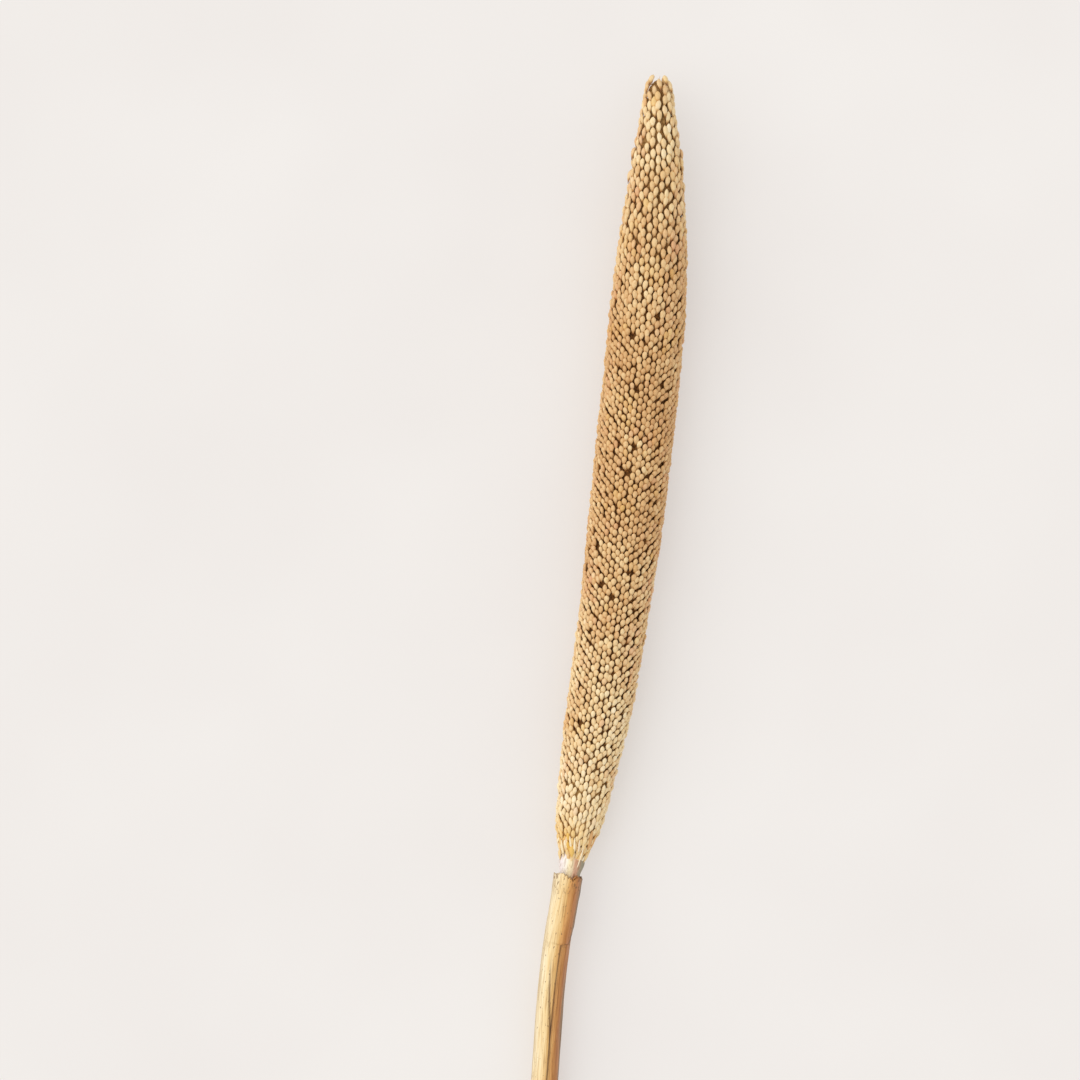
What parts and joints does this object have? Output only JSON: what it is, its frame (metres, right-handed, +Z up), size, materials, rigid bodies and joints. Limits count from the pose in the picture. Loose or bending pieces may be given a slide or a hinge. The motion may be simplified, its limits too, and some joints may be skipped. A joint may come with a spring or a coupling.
{
  "type": "dried pearl millet seed head",
  "caption": "Long, slightly curved dried seed head covered all over in small tan grains, on a ridged stalk in a rolled leaf sheath; lies on its side as a natural decoration.",
  "frame": {"origin": "on the resting plane, under the middle of the object's box", "axes": "+X along the stem towards the tip of the head, +Z up, away from the surface it lies on"},
  "size_m": [0.4841, 0.0282, 0.025],
  "materials": {
    "grain": "matte",
    "stalk": "matte",
    "sheath": "satin"
  },
  "bodies": {
    "root": {"grain_head": "grain", "stalk": "stalk", "leaf_sheath": "sheath"}
  },
  "joints": []
}
